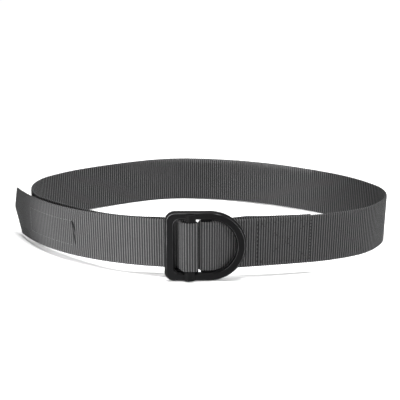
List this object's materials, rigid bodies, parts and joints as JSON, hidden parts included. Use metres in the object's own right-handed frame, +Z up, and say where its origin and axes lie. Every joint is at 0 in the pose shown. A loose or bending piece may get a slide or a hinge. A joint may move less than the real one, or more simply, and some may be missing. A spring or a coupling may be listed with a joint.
{
  "type": "tactical belt",
  "caption": "Wide ribbed webbing belt standing as a closed loop, with a black D-shaped friction buckle and a pointed free end.",
  "frame": {"origin": "centre of the belt's bounding box, on the table that the belt stands on", "axes": "+X along the buckle from its straight side to its round side, -Y out of the buckle's front, +Z up from the table"},
  "size_m": [0.3536, 0.1908, 0.0651],
  "materials": {
    "webbing": "charcoal grey ribbed nylon webbing, matte",
    "buckle": "satin black coated steel",
    "slider": "satin black coated steel"
  },
  "bodies": {
    "root": {"strap": "webbing", "buckle_frame": "buckle", "slider_bar": "slider"}
  },
  "joints": []
}
